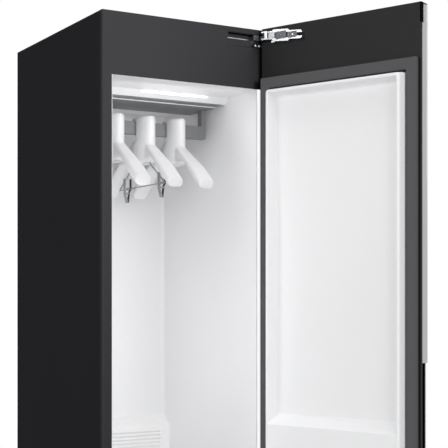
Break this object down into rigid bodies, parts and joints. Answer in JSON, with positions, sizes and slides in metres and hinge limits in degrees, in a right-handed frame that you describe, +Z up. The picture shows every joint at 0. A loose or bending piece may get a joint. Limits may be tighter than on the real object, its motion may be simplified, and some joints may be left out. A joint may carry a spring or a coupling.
{
  "type": "clothes care steam cabinet",
  "caption": "Upright steam cabinet for clothes with a hinged door, air hangers on a bar, a lamp, a louvred return, water tanks, a lint filter and a heat pump.",
  "frame": {"origin": "centre of the cabinet's footprint, on the floor under the feet", "axes": "+Z up, the front faces -Y, +X to the right seen from the front"},
  "size_m": [0.6174, 0.9772, 1.85],
  "materials": {
    "dark_paint": "satin",
    "black_plastic": "matte",
    "white_plastic": "satin",
    "hanger_white": "satin",
    "grey_plastic": "matte",
    "trim_metal": "brushed",
    "door_glass": "polished",
    "seal_rubber": "matte",
    "zinc": "bright",
    "steel": "brushed",
    "galvanised": "dull",
    "foam": "matte",
    "lamp_lens": "satin",
    "circuit_board": "satin",
    "black_steel": "satin",
    "copper": "dull",
    "aluminium": "dull",
    "tank_plastic": "satin",
    "tank_grey": "satin"
  },
  "bodies": {
    "cabinet": {"front_frame": "dark_paint", "side_panel_left": "dark_paint", "side_panel_right": "dark_paint", "top_cover": "dark_paint", "back_panel": "galvanised", "base_pan": "galvanised", "insulation": "foam", "cavity_liner": "white_plastic", "cavity_deck": "white_plastic", "louvre_unit": "white_plastic", "outlet_plate": "grey_plastic", "outlet_trim": "trim_metal", "lamp_lens": "lamp_lens", "lamp_board": "circuit_board", "hanger_bar": "grey_plastic", "fan_housing": "black_plastic", "fan_motor": "steel", "control_box": "black_plastic", "tank_bay": "white_plastic", "compressor": "black_steel", "condenser": "copper", "evaporator": "aluminium", "coil_duct": "black_plastic", "cooling_motor": "steel", "steam_boiler": "steel", "steam_hose": "seal_rubber", "drain_pump": "black_plastic", "mains_gland": "black_plastic", "hinge_pocket_top": "black_plastic", "hinge_pocket_bottom": "black_plastic", "hinge_bracket_top": "steel", "hinge_bracket_bottom": "steel"},
    "door": {"door_frame": "black_plastic", "door_glass": "door_glass", "door_liner": "white_plastic", "door_gasket": "seal_rubber", "edge_trim_upper": "trim_metal", "edge_trim_lower": "trim_metal", "hinge_arm_top": "zinc", "hinge_arm_bottom": "zinc"},
    "circulation_rotor": {"circulation_fan": "black_plastic"},
    "cooling_rotor": {"cooling_fan": "black_plastic"},
    "foot_fl": {"foot_front_left": "black_plastic"},
    "foot_fr": {"foot_front_right": "black_plastic"},
    "foot_rl": {"foot_rear_left": "black_plastic"},
    "foot_rr": {"foot_rear_right": "black_plastic"},
    "supply_drawer": {"supply_tank": "tank_plastic", "supply_tank_lid": "tank_grey"},
    "drain_drawer": {"drain_tank": "tank_plastic", "drain_tank_lid": "tank_grey"},
    "filter_drawer": {"lint_filter": "tank_grey"},
    "hanger_l": {"hanger_left": "hanger_white"},
    "hanger_c": {"hanger_centre": "hanger_white", "trouser_rod": "steel"},
    "hanger_r": {"hanger_right": "hanger_white"},
    "clip_f": {"clip_front": "steel"},
    "jaw_f": {"clip_jaw_front": "black_steel"},
    "clip_r": {"clip_rear": "steel"},
    "jaw_r": {"clip_jaw_rear": "black_steel"}
  },
  "joints": [
    {"name": "door_hinge", "type": "hinge", "parent": "cabinet", "child": "door", "pos_m": [0.2115, -0.295, 0.9], "axis": [0, 0, 1], "range_deg": [-111.5, 0]},
    {"name": "circulation_fan_spin", "type": "hinge", "parent": "cabinet", "child": "circulation_rotor", "pos_m": [0, -0.0155, 1.739], "axis": [0, 0, 1], "continuous": true},
    {"name": "cooling_fan_spin", "type": "hinge", "parent": "cabinet", "child": "cooling_rotor", "pos_m": [0.096, 0.082, 0.18], "axis": [0, 1, 0], "continuous": true},
    {"name": "foot_fl_screw", "type": "slide", "parent": "cabinet", "child": "foot_fl", "axis": [0, 0, -1], "range_m": [0, 0.012]},
    {"name": "foot_fr_screw", "type": "slide", "parent": "cabinet", "child": "foot_fr", "axis": [0, 0, -1], "range_m": [0, 0.012]},
    {"name": "foot_rl_screw", "type": "slide", "parent": "cabinet", "child": "foot_rl", "axis": [0, 0, -1], "range_m": [0, 0.012]},
    {"name": "foot_rr_screw", "type": "slide", "parent": "cabinet", "child": "foot_rr", "axis": [0, 0, -1], "range_m": [0, 0.012]},
    {"name": "supply_tank_slide", "type": "slide", "parent": "cabinet", "child": "supply_drawer", "axis": [0, -1, 0], "range_m": [0, 0.2]},
    {"name": "drain_tank_slide", "type": "slide", "parent": "cabinet", "child": "drain_drawer", "axis": [0, -1, 0], "range_m": [0, 0.2]},
    {"name": "lint_filter_slide", "type": "slide", "parent": "cabinet", "child": "filter_drawer", "axis": [0, -1, 0], "range_m": [0, 0.175]},
    {"name": "hanger_l_lift", "type": "slide", "parent": "cabinet", "child": "hanger_l", "axis": [0, 0, 1], "range_m": [0, 0.0145]},
    {"name": "hanger_c_lift", "type": "slide", "parent": "cabinet", "child": "hanger_c", "axis": [0, 0, 1], "range_m": [0, 0.0145]},
    {"name": "hanger_r_lift", "type": "slide", "parent": "cabinet", "child": "hanger_r", "axis": [0, 0, 1], "range_m": [0, 0.0145]},
    {"name": "clip_f_slide", "type": "slide", "parent": "hanger_c", "child": "clip_f", "axis": [0, 1, 0], "range_m": [0, 0.085]},
    {"name": "jaw_f_pinch", "type": "hinge", "parent": "clip_f", "child": "jaw_f", "pos_m": [0, -0.145, 1.4606], "axis": [0, -1, 0], "range_deg": [0, 12], "stiffness_Nm_per_rad": 0.4, "springref_deg": -11.46},
    {"name": "clip_r_slide", "type": "slide", "parent": "hanger_c", "child": "clip_r", "axis": [0, 1, 0], "range_m": [-0.06, 0.03]},
    {"name": "jaw_r_pinch", "type": "hinge", "parent": "clip_r", "child": "jaw_r", "pos_m": [0, 0.0525, 1.4606], "axis": [0, -1, 0], "range_deg": [0, 12], "stiffness_Nm_per_rad": 0.4, "springref_deg": -11.46}
  ]
}
